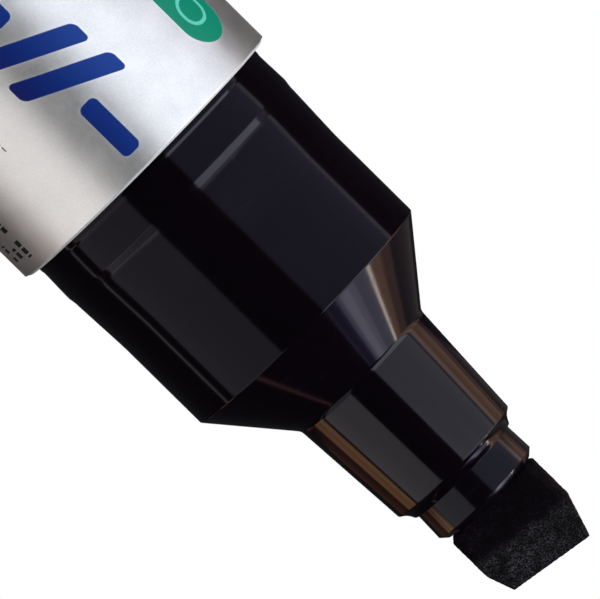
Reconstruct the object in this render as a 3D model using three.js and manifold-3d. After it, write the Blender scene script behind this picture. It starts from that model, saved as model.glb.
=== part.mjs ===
// An extra-broad chisel marker with a valve, its cap posted on the tail.
// Sizes are in millimetres. The marker stands on the closed end of its cap with +Z towards the nib,
// and the origin is the centre of that end.
import * as THREE from "three";
import { mergeVertices } from "three/addons/utils/BufferGeometryUtils.js";
import Module from "manifold-3d";

const wasm = await Module();
wasm.setup();

// Clearances
const pressGap = 0.05; // beside pieces that are pressed into each other
const slideGap = 0.1; // beside pieces that slide
const faceGap = 0.1; // between faces that rest on each other
const rimGap = 0.3; // between the cap's rim and the end of the barrel

// Barrel and its label
const barrelLength = 85;
const barrelRadius = 13.82;
const barrelWall = 1.07; // beside the two sockets
const socketStep = 0.55; // the bore between the sockets is this much narrower
const frontSocketDepth = 13.5;
const tailSocketDepth = 10.5;
const barrelChamfer = 0.18;
const labelThickness = 0.15;
const labelInset = 0.2; // bare barrel beyond each end of the label

// The seat that the cap grips, on the front section and again on the tail plug
const seatStep = 0.25; // the drop from the root of the seat to its long cylinder
const beadPlace = 4.3; // from the end of the barrel to the snap bead
const beadRise = 0.13;
const beadHalfWidth = 0.7;
const fadeLength = 3; // the soft slope from the bead down to the long cylinder

// Nib, measured from the front face of its holder
const nibWidth = 9.55;
const nibThickness = 5.6;
const nibCorner = 0.6; // chamfer along the four edges of the head
const nibStep = 0.575; // the shank is this much narrower on each side
const nibShankThickness = 5;
const nibBackChamfer = 0.42; // length of the slope behind the head
const nibReach = 8.3; // to the long corner
const nibStraight = 4.6; // to where the sides start to taper
const nibSideTaper = 17; // degrees
const nibSlant = 9.3; // degrees, the writing edge against square
const nibEdge = 1.6; // thickness of the writing edge
const nibBevelLength = 4.3;

// Nib holder, which slides in the nose
const nibTravel = 1.8;
const holderWall = 0.42; // outside the corners of the nib's shank
const holderReach = 3.1; // outside the nose
const holderGuide = 6; // inside the mouth of the nose
const holderStop = 0.45; // the flange is this much wider than the mouth of the nose
const holderFlange = 1.2;
const holderEndLength = 0.5; // chamfer round the front face
const holderEndDrop = 0.55;
const inkGrooveWidth = 1.6;
const inkGrooveDepth = 0.7;
const shankOverrun = 0.5; // the nib's shank runs on past the back of its holder

// Front section
const seatLength = 18.7; // from the end of the barrel to the shoulder
const shoulderLength = 6.5;
const noseLength = 10.8;
const noseDraft = 0.62; // the nose is this much wider at its foot
const noseWall = 1.02; // at the thin end of the nose
const noseChamfer = 1.05;
const noseLip = 0.1; // flat land between the chamfer and the mouth
const frontWall = 1.6;
const innerTubeWall = 1.4;
const leadIn = 0.5; // chamfer on the ends that are pushed into the barrel
const sealGrooveDepth = 1;
const sealGrooveWidth = 1.6;
const frontSealPlace = 8; // from the front end of the barrel back to the groove

// Valve
const stemPadRadius = 3.4;
const stemPadThickness = 1.2;
const stemOverrun = 0.4; // room left under the pad at full travel
const stemRodRadius = 1.4;
const stemPlugRadius = 3;
const stemPlugLength = 1;
const stemConeLength = 1.5;
const stemTailRadius = 1.2;
const stemTailLength = 7.3;
const valveWall = 1.1;
const valveFrontWall = 1.4;
const packingThickness = 1;
const packingHoleRadius = 2;
const springLength = 8.6;
const springWireRadius = 0.25;
const springRadius = 2.3; // to the middle of the wire
const springTurns = 6.5;
const retainerThickness = 1.5;
const retainerLip = 0.5; // the valve body runs on past its retainer by this much
const portRadius = 0.6;
const portCount = 6;
const flangeThickness = 1.3;

// Tail plug and mixing balls
const tailLength = 14; // outside the barrel
const tailSealPlace = 5; // from the back end of the barrel in to the groove
const tailWall = 1.6;
const tailChamfer = 0.9;
const tailRecessDepth = 0.5;
const tailRecessMargin = 3;
const ballRadius = 4;
const ballCount = 2;

// Cap
const capLength = 54;
const capTopWall = 1.6;
const capWall = 1.1;
const capDraft = 0.35; // the closed end is this much smaller in radius than the rim
const capEdge = 1.3; // rounding of the closed end
const capGrooveDepth = 0.08;
const linerWall = 1;
const linerFloor = 1;
const linerGrip = 0.6; // how far past the foot of the nose the liner's rim stops
const linerSocketHeight = 5;
const linerSocketWall = 1;

// Facets round the large and the small turned pieces
const wideSides = 48;
const narrowSides = 32;

// Radii that follow from the sizes above
const labelRadius = barrelRadius + pressGap + labelThickness;
const socketRadius = barrelRadius - barrelWall;
const boreRadius = socketRadius - socketStep;
const rootRadius = socketRadius - pressGap; // what stands in the sockets, and the root of the cap's seat
const seatRadius = rootRadius - seatStep;
const frontBoreRadius = seatRadius - frontWall;
const shankWidth = nibWidth - 2 * nibStep;
const holderRadius = Math.hypot(shankWidth, nibShankThickness) / 2 + pressGap + holderWall;
const mouthRadius = holderRadius + slideGap;
const noseBoreRadius = mouthRadius + holderStop;
const flangeRadius = noseBoreRadius - slideGap;
const noseTipRadius = mouthRadius + noseWall;
const noseFootRadius = noseTipRadius + noseDraft;
const innerTubeRadius = noseBoreRadius + innerTubeWall;
const valveRadius = noseBoreRadius - pressGap;
const chamberRadius = valveRadius - valveWall;
const capBoreRadius = rootRadius + beadRise + slideGap;
const linerBoreRadius = noseFootRadius + slideGap;
const linerRadius = linerBoreRadius + linerWall;

// Heights in the front section's own frame, whose zero is the front end of the barrel
const noseFoot = seatLength + shoulderLength;
const noseTip = noseFoot + noseLength;
const mouth = noseTip + noseChamfer;
const holderFront = mouth + holderReach;
const holderStopHeight = mouth - holderGuide;
const holderBack = holderStopHeight - faceGap - holderFlange;
const shankBack = holderBack - shankOverrun;
const padFoot = shankBack - faceGap - stemPadThickness;
const valveFront = padFoot - nibTravel - stemOverrun;
const packingFront = valveFront - valveFrontWall - faceGap;
const packingBack = packingFront - packingThickness;
const coneSlope = (stemPlugRadius - stemRodRadius) / stemConeLength;
const coneFoot = packingBack - (stemPlugRadius - packingHoleRadius + slideGap) / coneSlope;
const plugBack = coneFoot - stemPlugLength;
const springFront = plugBack - faceGap;
const springBack = springFront - springLength;
const retainerFront = springBack - faceGap;
const retainerBack = retainerFront - retainerThickness;
const valveBack = retainerBack - retainerLip;
const innerTubeBack = valveBack + flangeThickness + faceGap;

// Heights in the marker's own frame
const barrelBack = capLength + rimGap;
const barrelFront = barrelBack + barrelLength;
const tailFloor = barrelBack - tailLength + tailWall;

const blackPlastic = new THREE.MeshStandardMaterial({ color: 0x0b0b0e, roughness: 0.22, metalness: 0 });
const whitePlastic = new THREE.MeshStandardMaterial({ color: 0xe4e4e0, roughness: 0.4, metalness: 0 });
const clearPlastic = new THREE.MeshStandardMaterial({ color: 0xd9dad2, roughness: 0.45, metalness: 0 });
const silverPlastic = new THREE.MeshStandardMaterial({ color: 0xb9bbbe, roughness: 0.4, metalness: 0.3 });
const silverFilm = new THREE.MeshStandardMaterial({ color: 0xc9cbce, roughness: 0.35, metalness: 0.8 });
const inkedFelt = new THREE.MeshStandardMaterial({ color: 0x141416, roughness: 0.95, metalness: 0 });
const rubber = new THREE.MeshStandardMaterial({ color: 0x26262a, roughness: 0.8, metalness: 0 });
const steel = new THREE.MeshStandardMaterial({ color: 0xb9bcc0, roughness: 0.25, metalness: 1 });

// A solid turned about +Z. The outline's [radius, height] points run up the outside and down the inside,
// and either start and end on the axis or are closed here.
function turned(outline, sides = wideSides) {
  const closed = outline[0][0] === 0 ? outline : [...outline, outline[0]];
  const points = closed.map(([radius, height]) => new THREE.Vector2(radius, height));
  return new THREE.LatheGeometry(points, sides).rotateX(Math.PI / 2);
}

function solidOf(geometry) {
  const bare = geometry.index ? geometry.toNonIndexed() : geometry.clone();
  bare.deleteAttribute("normal");
  bare.deleteAttribute("uv");
  const merged = mergeVertices(bare);
  const vertProperties = merged.attributes.position.array;
  const triVerts = new Uint32Array(merged.index.array);
  return new wasm.Manifold(new wasm.Mesh({ numProp: 3, vertProperties, triVerts }));
}

function geometryOf(solid) {
  const mesh = solid.getMesh();
  const geometry = new THREE.BufferGeometry();
  geometry.setAttribute("position", new THREE.BufferAttribute(mesh.vertProperties, 3));
  geometry.setIndex(new THREE.BufferAttribute(mesh.triVerts, 1));
  geometry.computeVertexNormals();
  return geometry;
}

// Takes away what lies beyond the plane through point that faces outward.
function cutBeyond(solid, point, outward) {
  const reach = 4 * (nibReach + nibWidth);
  const facing = outward.clone().normalize();
  const block = new THREE.BoxGeometry(reach, reach, reach);
  block.applyQuaternion(new THREE.Quaternion().setFromUnitVectors(new THREE.Vector3(0, 0, 1), facing));
  const middle = point.clone().addScaledVector(facing, reach / 2);
  block.translate(middle.x, middle.y, middle.z);
  return solid.subtract(solidOf(block));
}

// count copies of one geometry, evenly spaced about +Z.
function around(count, geometry) {
  return Array.from({ length: count }, (_, i) => geometry.clone().rotateZ((2 * Math.PI * i) / count));
}

function piece(parent, name, geometry, material, height = 0) {
  const mesh = new THREE.Mesh(geometry, material);
  mesh.name = name;
  mesh.position.z = height;
  parent.add(mesh);
}

// The cap's seat from the end of the barrel outwards: root, snap bead and soft slope.
function seatOutline() {
  const steps = 4;
  const bead = Array.from({ length: steps + 1 }, (_, i) => {
    const share = i / steps;
    return [rootRadius + beadRise * Math.sin(Math.PI * share), beadPlace + beadHalfWidth * (2 * share - 1)];
  });
  const slope = Array.from({ length: steps }, (_, i) => {
    const share = (i + 1) / steps;
    const drop = (seatStep * (1 - Math.cos(Math.PI * share))) / 2;
    return [rootRadius - drop, beadPlace + beadHalfWidth + fadeLength * share];
  });
  return [...bead, ...slope];
}

function barrel() {
  return turned([
    [socketRadius, 0],
    [barrelRadius - barrelChamfer, 0],
    [barrelRadius, barrelChamfer],
    [barrelRadius, barrelLength - barrelChamfer],
    [barrelRadius - barrelChamfer, barrelLength],
    [socketRadius, barrelLength],
    [socketRadius, barrelLength - frontSocketDepth],
    [boreRadius, barrelLength - frontSocketDepth],
    [boreRadius, tailSocketDepth],
    [socketRadius, tailSocketDepth],
  ]);
}

function label() {
  const inner = barrelRadius + pressGap;
  const end = barrelLength - labelInset;
  return turned([[inner, labelInset], [labelRadius, labelInset], [labelRadius, end], [inner, end]]);
}

// The outline of what stands in a socket of the barrel, from its inner end to the seal's groove.
function socketOutline(depth, sealPlace) {
  const end = -depth + faceGap;
  return [
    [rootRadius - leadIn, end],
    [rootRadius, end + leadIn],
    [rootRadius, -sealPlace - sealGrooveWidth],
    [rootRadius - sealGrooveDepth, -sealPlace - sealGrooveWidth],
    [rootRadius - sealGrooveDepth, -sealPlace],
    [rootRadius, -sealPlace],
  ];
}

// The black moulding from the socket in the barrel to the mouth of the nose.
function frontSection() {
  const slope = (seatRadius - noseFootRadius) / shoulderLength;
  const wallAlong = frontWall * Math.hypot(1, 1 / slope); // the shoulder's wall, measured along the axis
  const pocketAt = (radius) => seatLength + (seatRadius - radius) / slope - wallAlong;
  return turned([
    [frontBoreRadius, -frontSocketDepth + faceGap],
    ...socketOutline(frontSocketDepth, frontSealPlace),
    ...seatOutline(),
    [seatRadius, seatLength],
    [noseFootRadius, noseFoot],
    [noseTipRadius, noseTip],
    [mouthRadius + noseLip, mouth],
    [mouthRadius, mouth],
    [mouthRadius, holderStopHeight],
    [noseBoreRadius, holderStopHeight],
    [noseBoreRadius, innerTubeBack],
    [innerTubeRadius, innerTubeBack],
    [innerTubeRadius, pocketAt(innerTubeRadius)],
    [frontBoreRadius, pocketAt(frontBoreRadius)],
  ]);
}

// A ring of oval section that fills a seal's groove.
function sealRing() {
  const inner = rootRadius - sealGrooveDepth + pressGap;
  const middle = (inner + socketRadius - pressGap) / 2;
  const halfHeight = middle - inner;
  const halfWidth = sealGrooveWidth / 2 - pressGap;
  const corners = 10;
  const section = Array.from({ length: corners }, (_, i) => {
    const angle = (2 * Math.PI * i) / corners;
    return [middle + halfHeight * Math.cos(angle), halfWidth * Math.sin(angle)];
  });
  return turned(section);
}

// A bar of oblong section with chamfered edges that starts at height 0.
function bar(width, thickness, chamfer, length) {
  const [x, y] = [width / 2, thickness / 2];
  const section = new THREE.Shape([
    new THREE.Vector2(x - chamfer, -y),
    new THREE.Vector2(x, chamfer - y),
    new THREE.Vector2(x, y - chamfer),
    new THREE.Vector2(x - chamfer, y),
    new THREE.Vector2(chamfer - x, y),
    new THREE.Vector2(-x, y - chamfer),
    new THREE.Vector2(-x, chamfer - y),
    new THREE.Vector2(chamfer - x, -y),
  ]);
  return new THREE.ExtrudeGeometry(section, { depth: length, bevelEnabled: false });
}

// A block of felt cut to a chisel whose writing edge is slanted, on a narrower shank.
function nib() {
  const [halfWidth, halfThickness] = [nibWidth / 2, nibThickness / 2];
  const slant = THREE.MathUtils.degToRad(nibSlant);
  const taper = THREE.MathUtils.degToRad(nibSideTaper);
  const block = bar(nibWidth, nibThickness, nibCorner, nibReach - faceGap).translate(0, 0, faceGap);
  let head = solidOf(block);
  for (const side of [-1, 1]) {
    const shoulder = new THREE.Vector3(side * halfWidth, 0, nibStraight);
    head = cutBeyond(head, shoulder, new THREE.Vector3(side * Math.cos(taper), 0, Math.sin(taper)));
    const heel = new THREE.Vector3(side * halfWidth, 0, faceGap + nibBackChamfer);
    head = cutBeyond(head, heel, new THREE.Vector3(side * nibBackChamfer, 0, -nibStep));
  }
  // The long corner lies where the tapered side meets the full length.
  const longCorner = new THREE.Vector3((nibReach - nibStraight) * Math.tan(taper) - halfWidth, 0, nibReach);
  head = cutBeyond(head, longCorner, new THREE.Vector3(Math.sin(slant), 0, Math.cos(slant)));
  const along = new THREE.Vector3(Math.cos(slant), 0, -Math.sin(slant));
  for (const side of [-1, 1]) {
    const lip = new THREE.Vector3(longCorner.x, (side * nibEdge) / 2, nibReach);
    const fall = new THREE.Vector3(0, side * (halfThickness - nibEdge / 2), -nibBevelLength);
    head = cutBeyond(head, lip, fall.cross(along).multiplyScalar(-side));
  }
  const shankLength = holderFront - shankBack;
  const shank = bar(shankWidth, nibShankThickness, nibCorner, shankLength + halfThickness);
  return geometryOf(head.add(solidOf(shank.translate(0, 0, -shankLength))));
}

// The sleeve that carries the nib. Its flange stops behind the mouth of the nose.
function nibHolder() {
  const sleeve = turned([
    [0, holderBack],
    [flangeRadius, holderBack],
    [flangeRadius, holderBack + holderFlange],
    [holderRadius, holderBack + holderFlange],
    [holderRadius, holderFront - holderEndLength],
    [holderRadius - holderEndDrop, holderFront],
    [0, holderFront],
  ], narrowSides);
  const length = holderFront - holderBack;
  const wide = shankWidth + 2 * pressGap;
  const thick = nibShankThickness + 2 * pressGap;
  const slot = bar(wide, thick, nibCorner, 2 * length).translate(0, 0, holderBack - length / 2);
  const channel = new THREE.BoxGeometry(inkGrooveWidth, thick + 2 * inkGrooveDepth, length);
  channel.translate(0, 0, holderBack + length / 2 - holderReach);
  return geometryOf(solidOf(sleeve).subtract(solidOf(slot)).subtract(solidOf(channel)));
}

// A cup pressed into the inner tube of the front section, with the valve's seat behind its front wall.
function valveBody() {
  return turned([
    [chamberRadius, valveBack],
    [innerTubeRadius, valveBack],
    [innerTubeRadius, valveBack + flangeThickness],
    [valveRadius, valveBack + flangeThickness],
    [valveRadius, valveFront],
    [packingHoleRadius, valveFront],
    [packingHoleRadius, valveFront - valveFrontWall],
    [chamberRadius, valveFront - valveFrontWall],
  ], narrowSides);
}

function packing() {
  const outer = chamberRadius - pressGap;
  return turned([
    [packingHoleRadius, packingBack],
    [outer, packingBack],
    [outer, packingFront],
    [packingHoleRadius, packingFront],
  ], narrowSides);
}

// The pad under the nib, its rod through the seat, the plug that closes the seat and the spring's guide.
function valveStem() {
  const coneTop = coneFoot + stemConeLength;
  return turned([
    [0, plugBack - stemTailLength],
    [stemTailRadius, plugBack - stemTailLength],
    [stemTailRadius, plugBack],
    [stemPlugRadius, plugBack],
    [stemPlugRadius, coneFoot],
    [stemRodRadius, coneTop],
    [stemRodRadius, padFoot],
    [stemPadRadius, padFoot],
    [stemPadRadius, padFoot + stemPadThickness],
    [0, padFoot + stemPadThickness],
  ], narrowSides);
}

// The line down the middle of the spring's wire.
class SpringLine extends THREE.Curve {
  getPoint(share, target = new THREE.Vector3()) {
    const angle = 2 * Math.PI * springTurns * share;
    const rise = springWireRadius + (springLength - 2 * springWireRadius) * share;
    return target.set(springRadius * Math.cos(angle), springRadius * Math.sin(angle), springBack + rise);
  }
}

function spring() {
  const stepsPerTurn = 14;
  const wire = new THREE.Shape();
  wire.absarc(0, 0, springWireRadius, 0, 2 * Math.PI, false);
  return new THREE.ExtrudeGeometry(wire, {
    steps: Math.round(springTurns * stepsPerTurn),
    curveSegments: 3,
    extrudePath: new SpringLine(),
  });
}

// The disc that holds the spring, with a guide hole for the stem and a ring of ports for the ink.
function retainer() {
  const outer = chamberRadius - pressGap;
  const guide = stemTailRadius + 2 * slideGap;
  const disc = turned([
    [guide, retainerBack],
    [outer, retainerBack],
    [outer, retainerFront],
    [guide, retainerFront],
  ], narrowSides);
  const portPlace = (springRadius + springWireRadius + outer) / 2;
  const drill = new THREE.CylinderGeometry(portRadius, portRadius, 2 * retainerThickness, 12);
  drill.rotateX(Math.PI / 2).translate(portPlace, 0, retainerBack + retainerThickness / 2);
  const ports = around(portCount, drill).map(solidOf);
  return geometryOf(ports.reduce((whole, each) => whole.subtract(each), solidOf(disc)));
}

// A cup that closes the barrel. Its frame has +Z out of the barrel.
function tailPlug() {
  const inner = seatRadius - tailWall;
  const recess = seatRadius - tailRecessMargin;
  return turned([
    [0, tailLength - tailWall],
    [inner, tailLength - tailWall],
    [inner, -tailSocketDepth + faceGap],
    ...socketOutline(tailSocketDepth, tailSealPlace),
    ...seatOutline(),
    [seatRadius, tailLength - tailChamfer],
    [seatRadius - tailChamfer, tailLength],
    [recess, tailLength],
    [recess - tailRecessDepth, tailLength - tailRecessDepth],
    [0, tailLength - tailRecessDepth],
  ]);
}

// The cap's shell, closed end down, with a socket inside that holds the liner.
function capShell() {
  const topRadius = labelRadius - capDraft;
  const rounding = Array.from({ length: 4 }, (_, i) => {
    const angle = (Math.PI / 2) * (i / 3);
    return [topRadius - capEdge + capEdge * Math.sin(angle), capEdge - capEdge * Math.cos(angle)];
  });
  const groove = capLength + rimGap - beadPlace;
  const socket = linerRadius + pressGap;
  const floor = capTopWall;
  return turned([
    [0, 0],
    ...rounding,
    [labelRadius, capLength],
    [capBoreRadius, capLength],
    [capBoreRadius, groove + beadHalfWidth],
    [capBoreRadius + capGrooveDepth, groove],
    [capBoreRadius, groove - beadHalfWidth],
    [topRadius - capWall, floor + linerSocketHeight],
    [topRadius - capWall, floor],
    [socket + linerSocketWall, floor],
    [socket + linerSocketWall, floor + linerSocketHeight],
    [socket, floor + linerSocketHeight],
    [socket, floor],
    [0, floor],
  ]);
}

// The cup that closes over the nose when the marker is capped.
function capLiner() {
  const back = capTopWall + faceGap;
  const rim = capLength + rimGap - noseFoot - linerGrip;
  return turned([
    [0, back],
    [linerRadius, back],
    [linerRadius, rim - linerWall / 2],
    [linerRadius - linerWall / 2, rim],
    [linerBoreRadius, rim],
    [linerBoreRadius, back + linerFloor],
    [0, back + linerFloor],
  ], narrowSides);
}

const marker = new THREE.Group();

const cap = new THREE.Group();
piece(cap, "cap_shell", capShell(), blackPlastic);
piece(cap, "cap_liner", capLiner(), whitePlastic);
marker.add(cap);

const body = new THREE.Group();
body.position.z = barrelBack;
piece(body, "barrel", barrel(), silverPlastic);
piece(body, "barrel_label", label(), silverFilm);
marker.add(body);

const tail = new THREE.Group();
tail.position.z = barrelBack;
tail.rotation.x = Math.PI;
piece(tail, "tail_plug", tailPlug(), blackPlastic);
piece(tail, "tail_seal_ring", sealRing(), rubber, -tailSealPlace - sealGrooveWidth / 2);
marker.add(tail);

const balls = new THREE.Group();
balls.position.z = tailFloor + faceGap + ballRadius;
for (let i = 0; i < ballCount; i += 1) {
  const ball = new THREE.SphereGeometry(ballRadius, 24, 14).rotateX(Math.PI / 2);
  const place = around(ballCount, ball.translate(ballRadius + slideGap, 0, 0))[i];
  piece(balls, `mixing_ball_${i + 1}`, place, steel);
}
marker.add(balls);

const front = new THREE.Group();
front.position.z = barrelFront;
piece(front, "front_section", frontSection(), blackPlastic);
piece(front, "front_seal_ring", sealRing(), rubber, -frontSealPlace - sealGrooveWidth / 2);
piece(front, "nib_holder", nibHolder(), blackPlastic);
piece(front, "nib", nib(), inkedFelt, holderFront);
piece(front, "valve_body", valveBody(), clearPlastic);
piece(front, "valve_packing", packing(), rubber);
piece(front, "valve_stem", valveStem(), whitePlastic);
piece(front, "valve_spring", spring(), steel);
piece(front, "valve_retainer", retainer(), clearPlastic);
marker.add(front);

export default marker;
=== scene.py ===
import math
from functools import partial

import bpy
from mathutils import Matrix, Vector


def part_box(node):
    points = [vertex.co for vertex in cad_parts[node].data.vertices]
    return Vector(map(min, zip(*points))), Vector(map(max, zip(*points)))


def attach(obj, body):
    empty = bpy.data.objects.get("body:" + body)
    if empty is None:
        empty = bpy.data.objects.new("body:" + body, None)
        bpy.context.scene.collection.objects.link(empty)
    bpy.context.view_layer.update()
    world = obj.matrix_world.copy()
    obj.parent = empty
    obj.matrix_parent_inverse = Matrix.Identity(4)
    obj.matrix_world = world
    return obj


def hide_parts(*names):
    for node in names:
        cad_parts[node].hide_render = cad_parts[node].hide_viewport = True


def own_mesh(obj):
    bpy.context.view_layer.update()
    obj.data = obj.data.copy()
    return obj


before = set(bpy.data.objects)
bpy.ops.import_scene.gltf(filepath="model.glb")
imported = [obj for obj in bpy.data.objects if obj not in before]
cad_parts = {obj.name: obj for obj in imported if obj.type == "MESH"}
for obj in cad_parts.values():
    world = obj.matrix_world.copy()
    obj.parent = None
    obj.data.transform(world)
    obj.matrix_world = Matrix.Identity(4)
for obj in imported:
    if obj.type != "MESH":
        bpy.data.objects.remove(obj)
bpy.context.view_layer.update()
mm = 0.001


# lowest and highest point of a CAD node, in mm, as all outlines are
def heightsOf(node):
    return [corner.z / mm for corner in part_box(node)]


barrelBack, barrelFront = heightsOf("barrel")
holderBack, holderFront = heightsOf("nib_holder")
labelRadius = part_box("barrel_label")[1].x / mm


# ---- modelling helpers

def selectOnly(piece):
    bpy.ops.object.select_all(action="DESELECT")
    piece.select_set(True)
    bpy.context.view_layer.objects.active = piece


def editing(piece):
    selectOnly(piece)
    bpy.ops.object.mode_set(mode="EDIT")


def objectMode():
    bpy.ops.object.mode_set(mode="OBJECT")


# names a fresh object and moves its place into its mesh
def settled(name):
    piece = bpy.context.object
    piece.name = name
    piece.data.name = name
    selectOnly(piece)
    bpy.ops.object.transform_apply(location=True, rotation=True, scale=True)
    return piece


def applyModifier(piece, kind, **settings):
    bpy.context.view_layer.objects.active = piece
    modifier = piece.modifiers.new(kind.title(), kind)
    for setting, value in settings.items():
        setattr(modifier, setting, value)
    bpy.ops.object.modifier_apply(modifier=modifier.name)


# joins or cuts by another object and removes that one
def combine(piece, operation, other):
    applyModifier(piece, "BOOLEAN", operation=operation, object=other, solver="EXACT")
    bpy.data.objects.remove(other)


# rounds the edges a little and keeps the long faces flat in the highlights
def softenEdges(piece, width, segments=3, angle=22):
    if width > 0:
        applyModifier(piece, "BEVEL", width=width * mm, segments=segments, limit_method="ANGLE",
                      angle_limit=math.radians(angle), use_clamp_overlap=True)
    selectOnly(piece)
    bpy.ops.object.shade_smooth_by_angle(angle=math.radians(40))
    applyModifier(piece, "WEIGHTED_NORMAL", keep_sharp=True, weight=80)


# draws an outline of (radius, height) points by extruding a vertex, then spins it round the axis
def spunPiece(name, outline, sides=128):
    bpy.ops.mesh.primitive_plane_add(size=mm, location=(0, 0, 0))
    piece = settled(name)
    editing(piece)
    bpy.ops.mesh.select_all(action="SELECT")
    bpy.ops.mesh.merge(type="CENTER")
    bpy.ops.transform.translate(value=(outline[0][0] * mm, 0, outline[0][1] * mm))
    closed = outline[0][0] > 0
    stops = outline + [outline[0]] if closed else outline
    for (r0, z0), (r1, z1) in zip(stops, stops[1:]):
        step = ((r1 - r0) * mm, 0, (z1 - z0) * mm)
        bpy.ops.mesh.extrude_region_move(TRANSFORM_OT_translate={"value": step})
    bpy.ops.mesh.select_all(action="SELECT")
    bpy.ops.mesh.spin(steps=sides, angle=2 * math.pi, center=(0, 0, 0), axis=(0, 0, 1))
    bpy.ops.mesh.select_all(action="SELECT")
    bpy.ops.mesh.remove_doubles(threshold=2e-6)
    bpy.ops.mesh.normals_make_consistent(inside=False)
    objectMode()
    return piece


def cutAway(point, outward):
    bpy.ops.mesh.select_all(action="SELECT")
    bpy.ops.mesh.bisect(plane_co=[c * mm for c in point], plane_no=outward, use_fill=True, clear_outer=True)


def arc(centreRadius, centreHeight, radius, fromAngle, toAngle, steps=5):
    turns = [math.radians(fromAngle + (toAngle - fromAngle) * i / steps) for i in range(steps + 1)]
    return [(centreRadius + radius * math.cos(t), centreHeight + radius * math.sin(t)) for t in turns]


# an outline of (radius, height) points, where a third number rounds that corner by an arc of this radius
def roundedOutline(points, steps=5):
    rounded = []
    for i, point in enumerate(points):
        if len(point) == 2:
            rounded.append(point)
            continue
        corner = Vector(point[:2])
        back = (Vector(points[i - 1][:2]) - corner).normalized()
        ahead = (Vector(points[(i + 1) % len(points)][:2]) - corner).normalized()
        halfAngle = back.angle(ahead) / 2
        centre = corner + (back + ahead).normalized() * point[2] / math.sin(halfAngle)
        start = corner + back * point[2] / math.tan(halfAngle) - centre
        end = corner + ahead * point[2] / math.tan(halfAngle) - centre
        sweep = start.angle_signed(end)
        for j in range(steps + 1):
            turned = Matrix.Rotation(-sweep * j / steps, 2) @ start
            rounded.append(tuple(centre + turned))
    return rounded


# ---- node helpers

nodeGrid = {"columns": 12, "width": 200, "height": 300}


# a new node, laid out left of the shader in the order of making
def addNode(tree, kind, **settings):
    node = tree.nodes.new(kind)
    row, column = divmod(len(tree.nodes), nodeGrid["columns"])
    node.location = ((column - nodeGrid["columns"]) * nodeGrid["width"], -row * nodeGrid["height"])
    for setting, value in settings.items():
        setattr(node, setting, value)
    return node


# puts a socket or a plain value into an input
def feed(tree, value, socket):
    if hasattr(value, "is_output"):
        tree.links.new(value, socket)
    elif value is not None:
        socket.default_value = value


def mathNode(tree, operation, first, second=None, clamp=False):
    node = addNode(tree, "ShaderNodeMath", operation=operation, use_clamp=clamp)
    feed(tree, first, node.inputs[0])
    feed(tree, second, node.inputs[1])
    return node.outputs[0]


def mixColour(tree, factor, first, second):
    node = addNode(tree, "ShaderNodeMix", data_type="RGBA")
    feed(tree, factor, node.inputs["Factor"])
    for value, socket in ((first, node.inputs[6]), (second, node.inputs[7])):
        feed(tree, value if hasattr(value, "is_output") else (*value[:3], 1), socket)
    return node.outputs[2]


def noiseNode(tree, vector, scale, detail=2, roughness=0.5, dimensions="3D"):
    node = addNode(tree, "ShaderNodeTexNoise", noise_dimensions=dimensions)
    feed(tree, vector, node.inputs["Vector"])
    feed(tree, scale, node.inputs["Scale"])
    node.inputs["Detail"].default_value = detail
    node.inputs["Roughness"].default_value = roughness
    return node.outputs


def newGroup(name, inputs, outputs):
    group = bpy.data.node_groups.new(name, "ShaderNodeTree")
    for label, kind, default in inputs:
        socket = group.interface.new_socket(label, in_out="INPUT", socket_type="NodeSocket" + kind)
        if default is not None:
            socket.default_value = default
    for label in outputs:
        group.interface.new_socket(label, in_out="OUTPUT", socket_type="NodeSocketFloat")
    return group, addNode(group, "NodeGroupInput").outputs, addNode(group, "NodeGroupOutput").inputs


def placeGroup(tree, group, **values):
    node = addNode(tree, "ShaderNodeGroup", node_tree=group)
    for label, value in values.items():
        feed(tree, value, node.inputs[label])
    return node.outputs


# fine unevenness of a surface: a mask for colour and roughness, and a height for bump
def makeGrainGroup():
    inputs = [("Vector", "Vector", None), ("Size", "Float", 0.5), ("Contrast", "Float", 1.0)]
    group, inside, out = newGroup("surfaceGrain", inputs, ["Mask", "Height"])
    calc = partial(mathNode, group)
    perSize = calc("DIVIDE", 1 / mm, inside["Size"])
    fine = noiseNode(group, inside["Vector"], perSize, detail=4, roughness=0.6)[0]
    broad = noiseNode(group, inside["Vector"], calc("MULTIPLY", perSize, 0.07))[0]
    both = calc("ADD", calc("MULTIPLY", fine, 0.7), calc("MULTIPLY", broad, 0.3))
    centred = calc("SUBTRACT", both, 0.5)
    spread = calc("MULTIPLY", centred, inside["Contrast"])
    group.links.new(calc("ADD", spread, 0.5, True), out["Mask"])
    group.links.new(fine, out["Height"])
    return group


# light rubbing along convex edges, broken up by noise
def makeWearGroup():
    inputs = [("Vector", "Vector", None), ("Start", "Float", 0.53), ("Sharpness", "Float", 14.0),
              ("Patchiness", "Float", 0.6)]
    group, inside, out = newGroup("edgeWear", inputs, ["Mask"])
    calc = partial(mathNode, group)
    point = addNode(group, "ShaderNodeNewGeometry").outputs["Pointiness"]
    noise = noiseNode(group, inside["Vector"], 900, detail=5)[0]
    past = calc("SUBTRACT", point, inside["Start"])
    edge = calc("MULTIPLY", past, inside["Sharpness"], True)
    bare = calc("MULTIPLY", noise, inside["Patchiness"])
    patches = calc("SUBTRACT", 1.0, bare)
    group.links.new(calc("MULTIPLY", edge, patches, True), out["Mask"])
    return group


# hair-thin scratches: each set's turn and stretch, where a scratch starts, and how fast it deepens
hairs = {"along": ((0.15, 0.1, 0.3), (2600, 2600, 90)), "across": ((0.2, 0.7, 1.1), (110, 2300, 2300)),
         "start": 0.66, "sharpness": 9}


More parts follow.
